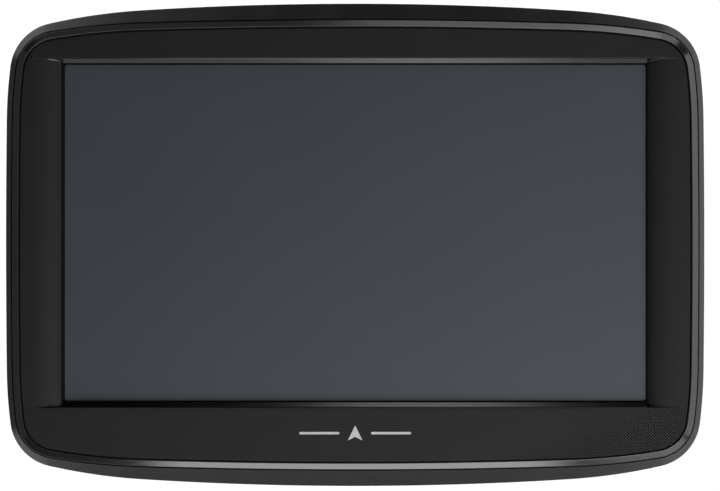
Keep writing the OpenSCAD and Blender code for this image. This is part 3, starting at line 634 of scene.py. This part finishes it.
def front_bezel():
    """Fascia: the trough, the flat strips round it and the side down to the back edge."""
    bm = to_bmesh(trough())
    bmesh.ops.remove_doubles(bm, verts=bm.verts, dist=2e-6)
    loops = sorted(boundary_loops(bm), key=lambda chain: -max(v.co.x for v in chain))
    outer = loops[0]
    angles = np.array([math.atan2(v.co.z, v.co.x) for v in outer])
    skirt, wall = 7.5, 1.2                      # how deep the fascia's side reaches, and how thick it is
    edge = fillet([[-0.7, STRIP_DEPTH], [0, STRIP_DEPTH], [0, 3]], 0.3, 7)
    previous = outer
    for grow, depth in [*edge, (0, skirt), (-wall, skirt), (-wall, FASCIA_BACK)]:
        ring = outline_at(FACE_SHAPE, grow, angles)
        verts = [bm.verts.new((x * MM, (FRONT + depth) * MM, z * MM)) for x, z in ring]
        for i in range(len(verts)):
            k = (i + 1) % len(verts)
            bm.faces.new((previous[i], previous[k], verts[k], verts[i]))
        previous = verts
    bm.normal_update()
    for face in bm.faces:
        face.material_index = 1 if smooth_area(face) else 0
    obj = finished(bm, "front_bezel", [fascia_plastic, trough_plastic], "navigator",
                   replaces=("front_fascia",), slot="fascia_plastic", angle=40)
    weighted(obj)
    return obj


def emblem():
    """Plain direction arrow between two thin bars, printed in white."""
    z0, top, base = -37.5, STRIP_DEPTH - 0.03, STRIP_DEPTH + 0.01
    half_bar, centre_in, centre_out = 0.24, 3.4, 10.9
    arrow = [(0, 1.55), (1.45, -1.45), (0, -0.75), (-1.45, -1.45)]
    parts = [prism([(x, z0 + z) for x, z in arrow], top, base)]
    for side in (-1, 1):
        ends = []
        for c, start in ((centre_out, -math.pi / 2), (centre_in, math.pi / 2)):
            ends += [(c + half_bar * math.cos(start + math.pi * k / 8),
                      z0 + half_bar * math.sin(start + math.pi * k / 8))
                     for k in range(9)]
        parts.append(prism([(side * x, z) for x, z in ends], top, base))
    return piece("front_emblem", merge(parts), [white_ink], "navigator", angle=30)


# ---------------------------------------------------------------- trim ring and screen

def trim_band():
    """Sloping satin band round the fascia, with a small bevel inside."""
    seam = 0.1
    profile = [[seam, 3.0], [seam, 0.26], [seam + 0.17, 0.0], [TRIM_W - 0.03, 0.54], [TRIM_W, 0.6],
               [TRIM_W, 3.0]]
    smooth = fillet(profile, [0.05, 0.05, 0.03, 0.03], 5)
    rings = [at(depth, outline(FACE_SHAPE, grow)) for grow, depth in smooth]
    obj = piece("trim_band", loft(rings, closed=True), [trim_plastic], "navigator", replaces=("trim_ring",),
                slot="trim_plastic", angle=50)
    weighted(obj)
    return obj


def screen():
    """Touch panel: a matt film over the display area, and a black border round it whose strip inside the
    window is painted shadow for the gap along the window's edge.
    """
    low, high = PANEL
    half = np.array([high[0] - low[0], high[2] - low[2]]) / 2
    front, back = low[1] - FRONT, high[1] - FRONT
    # width of the black border; its strip inside the window is painted shadow
    border = 1.75

    def rectangle(inset, corner):
        x, z = half - inset - corner
        turns = [(x, z, 90), (x, -z, 0), (-x, -z, -90), (-x, z, 180)]
        return np.array([(cx + corner * math.cos(math.radians(start - 11.25 * k)),
                          WINDOW_Z + cz + corner * math.sin(math.radians(start - 11.25 * k)))
                         for cx, cz, start in turns for k in range(9)])

    outer = rectangle(0, 1.0)
    rings = [at(back, rectangle(0.15, 0.85)), at(back - 0.15, outer), at(front + 0.15, outer),
             at(front, rectangle(0.15, 0.85)), at(front, rectangle(border, 0.5))]
    bm = to_bmesh(loft(rings))
    bmesh.ops.recalc_face_normals(bm, faces=bm.faces)
    inner = (half - border + 0.001) * MM
    # faces outside the display area, with the panel's sides and back, take the black painted shadow
    for face in bm.faces:
        c = face.calc_center_median()
        inside = all(abs(v.co.x) <= inner[0] and abs(v.co.z / MM - WINDOW_Z) * MM <= inner[1]
                     for v in face.verts)
        face.material_index = 0 if inside and c.y < (FRONT + front + 0.01) * MM else 1
    return finished(bm, "screen_panel", [screen_film, painted_gap_shadow], "navigator", replaces=("touch_panel",),
                    slot="panel_glass", angle=40)


# ---------------------------------------------------------------- rear housing

def housing_rings():
    """Profile rings from the inner back, round the front rim and its chamfer, to the outer back."""
    slope = math.tan(math.radians(CHAMFER))
    ledge_front, ledge_back, inner_start = 3.1, 8.6, 8.8    # the step inside that the trim sits on

    def round_ring(v, skin):
        depth = ROUNDING + (BACK - skin - ROUNDING) * math.sin(v)
        share = 1 - math.cos(v)
        return at(depth, outline((1 - share) * BODY_SHAPE + share * BACK_SHAPE, -skin * (1 - 0.6 * share)))

    lip = outline(FACE_SHAPE, TRIM_W + SEAM)
    ledge = outline(FACE_SHAPE, SEAM + 0.2)
    start, end = outline(FACE_SHAPE, TRIM_W + SEAM + 0.1), outline(BODY_SHAPE)
    fine = outline(FACE_SHAPE, TRIM_W + SEAM + 0.1, FINE_STEPS)
    width = np.array([np.linalg.norm(fine - point, axis=1).min() for point in end])
    rings = [round_ring(v, WALL) for v in np.linspace(math.pi / 2, 0, 13)]
    rings += [at(inner_start, outline(BODY_SHAPE, -WALL)), at(ledge_back, ledge), at(ledge_front, ledge),
              at(ledge_front, lip), at(RIM + 0.12, lip),
              at(RIM + 0.03, outline(FACE_SHAPE, TRIM_W + SEAM + 0.05))]
    for share, extra in ((0, 0), (0.5, 0), (0.93, 0), (0.985, 0.02), (1, 0.2)):
        rings.append(at(RIM + slope * share * width + extra, (1 - share) * start + share * end))
    rings.append(at(WIDEST, end))
    rings += [round_ring(v, 0) for v in np.linspace(0, math.pi / 2, 40)]
    return rings


def hole(centre, radius, front, back, steps=40):
    return turned([(radius, front), (radius, back)], steps, centre)


def slot_cut(centre, size, corner, bottom, top):
    """Rounded slot through the underside: centre is x, depth and size is along them."""
    half = np.array(size) / 2 - corner
    ring = []
    for sx, sd, start in ((1, 1, 0), (-1, 1, 90), (-1, -1, 180), (1, -1, 270)):
        for k in range(7):
            a = math.radians(start + 15 * k)
            ring.append((centre[0] + sx * half[0] + corner * math.cos(a),
                         centre[1] + sd * half[1] + corner * math.sin(a)))
    return loft([np.array([(x, d, bottom) for x, d in ring]), np.array([(x, d, top) for x, d in ring])])


def back_shell():
    """Housing with its recess, screw wells, key opening, light hole, speaker grille and the slots below."""
    obj = piece("back_shell", loft(housing_rings()), [housing_plastic], "navigator",
                replaces=("rear_housing",), slot="housing_plastic", angle=30)
    screw_x, screw_z = SCREWS[1][0] - SCREW_RIM, SCREWS[1][2] - SCREW_RIM
    key = ((KEY[0][0] + KEY[1][0]) / 2, (KEY[0][2] + KEY[1][2]) / 2)
    pipe = ((PIPE[0][0] + PIPE[1][0]) / 2, (PIPE[0][2] + PIPE[1][2]) / 2)
    speaker = np.array([(SPEAKER[0][0] + SPEAKER[1][0]) / 2, (SPEAKER[0][2] + SPEAKER[1][2]) / 2])
    speaker_r = (SPEAKER[1][0] - SPEAKER[0][0]) / 2
    through = BACK + 1
    cuts = [turned([(RECESS_R + 0.6, 18), (RECESS_R + 0.6, through)], 192)]
    for sx in (-1, 1):
        for sz in (-1, 1):
            cuts.append(turned([(2.2, 20.6), (2.2, BACK - 0.4), (2.5, BACK - 0.1), (2.7, through)], 48,
                               (sx * screw_x, sz * screw_z)))
    key_r = (KEY[1][0] - KEY[0][0]) / 2 - 0.6
    cuts.append(turned([(key_r + 0.1, 20), (key_r + 0.1, BACK - 0.25), (key_r + 0.35, BACK),
                        (key_r + 0.35, through)], 64, key))
    cuts.append(hole(pipe, 1.0, 20, through, 32))
    pitch, hole_r, flare, border = 2.7, 0.85, 0.15, 1.8
    for row in range(-4, 5):
        for column in range(-4, 5):
            offset = pitch * np.array([column + row / 2, row * math.sqrt(3) / 2])
            if np.hypot(*offset) < speaker_r - border:
                cuts.append(turned([(hole_r, 20), (hole_r, BACK - flare), (hole_r + flare, BACK),
                                    (hole_r + flare, through)], 20, speaker + offset))
    mouth = (SOCKET[0][1] + SOCKET[1][1]) / 2 - FRONT
    cuts.append(slot_cut(((SOCKET[0][0] + SOCKET[1][0]) / 2, mouth), (8.6, 3.8), 0.9, -52, -44.5))
    card = (CARD[0][1] + CARD[1][1]) / 2 - FRONT
    cuts.append(slot_cut(((CARD[0][0] + CARD[1][0]) / 2, card), (12, 1.4), 0.3, -52, -43.5))
    cut(obj, cuts, 30)
    weighted(obj)
    return obj


def recess_tub():
    """Round pocket for the mount, with a softened mouth and a ribbed floor edge. It belongs to the shell."""
    outer = RECESS_R + 0.6
    under = RECESS_DEPTH - 1.6
    profile = [[BOSS_HOLE, under], [BOSS_HOLE, RECESS_DEPTH], [RECESS_R, RECESS_DEPTH], [RECESS_R, BACK],
               [outer, BACK], [outer, under], [BOSS_HOLE, under]]
    smooth = fillet(profile, [0.1, 0.6, 0.5, 0.01, 0.3], 5)[:-1]
    angles = np.arange(192) * 2 * math.pi / 192
    rings = [np.column_stack([r * np.cos(angles), np.full(192, d), r * np.sin(angles)]) for r, d in smooth]
    return piece("recess_tub", loft(rings, closed=True), [housing_plastic], "navigator",
                 slot="housing_plastic", angle=35)


def screw_bosses():
    """Columns in the shell that the case screws pass through."""
    screw_x, screw_z = SCREWS[1][0] - SCREW_RIM, SCREWS[1][2] - SCREW_RIM
    parts = []
    for sx in (-1, 1):
        for sz in (-1, 1):
            rings = []
            angles = np.arange(40) * 2 * math.pi / 40
            for r, d in ((1.15, 8.9), (1.15, 20.6), (2.2, 20.6), (2.2, 21.6), (2.8, 21.6), (2.8, 8.9)):
                rings.append(np.column_stack([sx * screw_x + r * np.cos(angles), np.full(40, d),
                                              sz * screw_z + r * np.sin(angles)]))
            parts.append(loft(rings, closed=True))
    return piece("screw_bosses", merge(parts), [housing_plastic], "navigator", slot="housing_plastic",
                 angle=30)


# ---------------------------------------------------------------- key and mount

def key_cap():
    """Dished round cap with a raised power sign."""
    low, high = KEY
    centre = ((low[0] + high[0]) / 2, (low[2] + high[2]) / 2)
    flange = (high[0] - low[0]) / 2
    r = flange - 0.6
    top, under = high[1] - FRONT, low[1] - FRONT
    profile = [[0, under], [flange, under], [flange, BACK - WALL - 0.1], [r, BACK - WALL - 0.1],
               [r, top - 0.1], [r - 0.35, top], [0, top - 0.28]]
    smooth = fillet(profile, [0.15, 0.15, 0.1, 0.3, 0.6], 5)
    body = turned([(max(a, 0.0), d) for a, d in smooth], 72, centre)
    sign = []
    inner, outer = 1.15, 1.45
    base, proud = top - 0.3, top - 0.06
    start, end = math.radians(90 + 38), math.radians(90 + 322)
    path = [start + (end - start) * k / 24 for k in range(25)]
    ring = [(centre[0] + outer * math.cos(a), centre[1] + outer * math.sin(a)) for a in path]
    ring += [(centre[0] + inner * math.cos(a), centre[1] + inner * math.sin(a)) for a in path[::-1]]
    sign.append(prism(ring, base, proud))
    bar = [(centre[0] + x, centre[1] + z)
           for x, z in ((-0.15, 0.35), (0.15, 0.35), (0.15, 1.7), (-0.15, 1.7))]
    sign.append(prism(bar, base, proud))
    return piece("key_cap", merge([body] + sign), [key_plastic], "key", replaces=("power_key",),
                 slot="key_plastic", angle=35)


def grip_ribs():
    """Rubber band with rounded ribs round the twist lock."""
    low, high = BAND
    outer = (high[0] - low[0]) / 2
    inner = (RING[1][0] - RING[0][0]) / 2 + 0.01
    front, back = low[1] - FRONT, high[1] - FRONT
    ribs, per_rib, rib_depth = 60, 10, 0.45
    count = ribs * per_rib
    angles = np.arange(count) * 2 * math.pi / count
    wave = 0.5 + 0.5 * np.cos(angles * ribs)
    bulge = np.sqrt(wave)
    rings = []
    for depth, share in ((front, 0.0), (front + 0.12, 0.6), (front + 0.4, 1.0), (back - 0.4, 1.0),
                         (back - 0.12, 0.6), (back, 0.0)):
        radius = outer - rib_depth + rib_depth * bulge * share
        rings.append(np.column_stack([radius * np.cos(angles), np.full(count, depth),
                                      radius * np.sin(angles)]))
    for depth in (back, front):
        rings.append(np.column_stack([inner * np.cos(angles), np.full(count, depth),
                                      inner * np.sin(angles)]))
    return piece("grip_ribs", loft(rings, closed=True), [band_rubber], "twist_lock", replaces=("grip_band",),
                 slot="band_rubber", angle=50)


def cup_rim():
    """Thick outer rim of the suction cup, its flat sealing land and the release tab."""
    r = (CUP[1][0] - CUP[0][0]) / 2
    seat, under = CUP[1][1] - FRONT, CUP[0][1] - FRONT
    inner = 24.05
    profile = [[inner, under + 0.6], [inner + 0.4, under], [r - 0.5, under], [r, under + 0.5],
               [r, seat - 0.25], [r - 0.3, seat], [inner + 0.35, seat], [inner, seat - 0.12],
               [inner, under + 0.6]]
    smooth = fillet(profile, [0.2, 0.3, 0.4, 0.2, 0.2, 0.2, 0.1], 4)[:-1]
    angles = np.arange(192) * 2 * math.pi / 192
    rings = [np.column_stack([a * np.cos(angles), np.full(192, d), a * np.sin(angles)]) for a, d in smooth]
    tab = []
    half, corner, tip = 4.0, 1.5, CUP[0][2]
    for depth, grow in ((seat - 0.9, -0.15), (seat - 0.75, 0), (seat - 0.2, 0), (seat - 0.03, -0.15)):
        h = half + grow
        bottom = tip - grow
        points = [(-h, -r + 1), (-h, bottom + corner)]
        points += [(-h + corner - corner * math.cos(a), bottom + corner - corner * math.sin(a))
                   for a in np.linspace(0.2, 1.57, 7)]
        points += [(h - corner + corner * math.sin(a), bottom + corner - corner * math.cos(a))
                   for a in np.linspace(0, 1.37, 7)]
        points += [(h, bottom + corner), (h, -r + 1)]
        tab.append(at(depth, points))
    ribs = []
    for k in range(3):
        z = tip + 1.0 + 0.8 * k
        rib = [(-2.6, z - 0.15), (2.6, z - 0.15), (2.6, z + 0.15), (-2.6, z + 0.15)]
        ribs.append(prism(rib, seat - 0.1, seat))
    geometry = merge([loft(rings, closed=True), loft(tab)] + ribs)
    return piece("cup_rim", geometry, [cup_rubber], "mount_base", replaces=("suction_cup",),
                 slot="cup_rubber", angle=40)


def cup_membrane():
    """Thin middle of the cup, put on the mount's base."""
    seat = CUP[1][1] - FRONT
    hollow, edge, middle = 0.3, 24.02, 8.0
    shelf = seat - 0.03
    profile = [(0.0, seat - 0.46), (9.1, seat - 0.46)]
    profile += [(a, seat - 1.1 + 0.2 * (a - 9.1) / 15) for a in np.linspace(9.15, edge, 14)]
    profile += [(a, shelf - hollow * (0.5 + 0.5 * math.cos(math.pi * (a - middle) / (edge - middle))))
                for a in np.linspace(edge, middle, 36)]
    profile += [(a, shelf - hollow) for a in (6, 4, 2, 0)]
    obj = piece("cup_membrane", turned(profile, 144), [cup_rubber], "mount_base", slot="cup_rubber",
                angle=50)
    return obj, shelf, hollow


def blend_membrane():
    """Builds the cup's middle, then takes it off the mount's base with its shape baked where it stands."""
    obj, shelf, hollow = cup_membrane()
    obj.parent = None
    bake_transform(obj)


# ---------------------------------------------------------------- stage, lights and camera

def stage_floor():
    """Round pale floor well below the device and its lights: nothing of it shows from the front."""
    radius, below, shade, roughness = 0.25, 0.55, 0.5, 0.8
    bm = bmesh.new()
    bmesh.ops.create_circle(bm, cap_ends=True, segments=96, radius=radius)
    mesh = bpy.data.meshes.new("stage_floor")
    bm.to_mesh(mesh)
    bm.free()
    floor = bpy.data.objects.new("stage_floor", mesh)
    floor.location = (0, 0, -below)
    bpy.context.scene.collection.objects.link(floor)
    mat = bpy.data.materials.new("stage_pale")
    mat.use_nodes = True
    shader = mat.node_tree.nodes["Principled BSDF"]
    shader.inputs["Base Color"].default_value = (shade, shade, shade, 1)
    shader.inputs["Roughness"].default_value = roughness
    mesh.materials.append(mat)


def panel_light(name, place, target, size, radiance):
    """Rectangular soft light of a given radiance, aimed at a point. Sizes in metres."""
    light = bpy.data.lights.new(name, "AREA")
    light.shape = "RECTANGLE"
    light.size, light.size_y = size
    light.energy = radiance * math.pi * size[0] * size[1]
    obj = bpy.data.objects.new(name, light)
    place, target = np.array(place, float), np.array(target, float)
    obj.location = place
    obj.rotation_euler = Vector(place - target).to_track_quat("Z", "Y").to_euler()
    obj.visible_camera = False
    bpy.context.scene.collection.objects.link(obj)


def lamp(name, off_axis, around, size, radiance, distance=0.5, target=(0, 0, 0)):
    """Panel light placed by angle: off_axis from the view, and around from the right toward the top."""
    tilt, turn = math.radians(off_axis), math.radians(around)
    away = np.array([math.sin(tilt) * math.cos(turn), -math.cos(tilt), math.sin(tilt) * math.sin(turn)])
    panel_light(name, np.array(target) + distance * away, target, size, radiance)


def lights():
    """Soft boxes, white cards and lit surroundings. Angles in degrees, sizes and distances in metres."""
    wide, broad = (0.26, 0.26), (0.42, 0.42)
    low_edge, high_right = (0, 0, HOUSING[0][2] * MM), (0.058, 0, HOUSING[1][2] * MM)
    # soft boxes in front and at the sides
    lamp("key", 22, 303, (0.16, 0.2), 6.2)
    lamp("low_strip", 30, 270, (0.08, 0.03), 3.0, distance=0.15, target=low_edge)
    lamp("upper_right", 45, 60, wide, 0.72)
    lamp("right", 45, 0, (0.28, 0.44), 0.74)
    lamp("left", 45, 180, (0.26, 0.5), 0.08)
    lamp("upper_left", 45, 115, wide, 0.08)
    lamp("lower_right", 45, 300, (0.4, 0.26), 0.85)
    lamp("left_edge", 95, 180, wide, 0.5)
    # white surroundings behind, which the chamfer mirrors
    lamp("behind_right", 120, 0, (0.7, 0.4), 1.15)
    lamp("behind_low_right", 116, 311, broad, 1.25)
    lamp("behind_low_left", 116, 227, broad, 1.3)
    lamp("behind_high_left", 116, 130, broad, 1.45)
    lamp("behind_high_right", 116, 48, broad, 1.15)
    lamp("back_fill", 172, 240, (0.7, 0.7), 4.0, distance=0.9)
    lamp("back_key", 155, 60, (0.4, 0.4), 6.0, distance=0.8)
    # reflector cards in the trim and in the walls above and below the screen
    lamp("trim_card_low", 45, 270, (0.094, 0.075), 2.1, distance=0.2, target=low_edge)
    lamp("trim_card_high", 45, 90, (0.12, 0.1), 0.6, distance=0.35, target=high_right)
    wall_light = 2 * math.degrees(math.atan(WALL_DROP / WALL_RUN))
    over, under = [(CARD_X * MM, 0, (WINDOW_Z + side * WINDOW_HALF[1]) * MM) for side in (-1, 1)]
    lamp("wall_card_over", wall_light, 90, (0.046, 0.12), 2.7, target=over)
    lamp("wall_card_under", wall_light, 270, (0.05, 0.12), 2.8, target=under)
    lamp("wall_glow_under", wall_light, 270, (0.4, 0.12), 0.8, target=under)


def white_world():
    """White to the camera, and a dim grey that brightens to the right for everything else."""
    world = bpy.data.worlds.new("studio")
    bpy.context.scene.world = world
    world.use_nodes = True
    nodes, links = world.node_tree.nodes, world.node_tree.links
    nodes.clear()
    out = nodes.new("ShaderNodeOutputWorld")
    mix = nodes.new("ShaderNodeMixShader")
    room, white = nodes.new("ShaderNodeBackground"), nodes.new("ShaderNodeBackground")
    white.inputs["Color"].default_value = (1, 1, 1, 1)
    white.inputs["Strength"].default_value = 1.05
    where = nodes.new("ShaderNodeTexCoord").outputs["Generated"]
    split = nodes.new("ShaderNodeSeparateXYZ")
    links.new(where, split.inputs["Vector"])
    level = ramp_between(nodes, links, split.outputs["X"], -1, 1, 0.01, 0.02)
    links.new(level, room.inputs["Strength"])
    links.new(nodes.new("ShaderNodeLightPath").outputs["Is Camera Ray"], mix.inputs["Fac"])
    links.new(room.outputs["Background"], mix.inputs[1])
    links.new(white.outputs["Background"], mix.inputs[2])
    links.new(mix.outputs["Shader"], out.inputs["Surface"])


def camera():
    """Long lens straight at the front. The view is 144 mm wide at the body's widest outline."""
    view_w, distance, sensor = 0.14387, 2.4, 36
    data = bpy.data.cameras.new("camera")
    data.sensor_width = sensor
    data.lens = sensor * (distance + (FRONT + WIDEST) * MM) / view_w
    data.clip_start, data.clip_end = 0.1, 20
    obj = bpy.data.objects.new("camera", data)
    obj.location = (0.00096, -distance, -0.00014)
    obj.rotation_euler = (math.pi / 2, 0, 0)
    bpy.context.scene.collection.objects.link(obj)
    bpy.context.scene.camera = obj
    bpy.context.scene.view_settings.view_transform = "Standard"


camera()
white_world()
lights()
stage_floor()
carry_over()
front_bezel()
emblem()
trim_band()
screen()
back_shell()
recess_tub()
screw_bosses()
key_cap()
grip_ribs()
cup_rim()
blend_membrane()
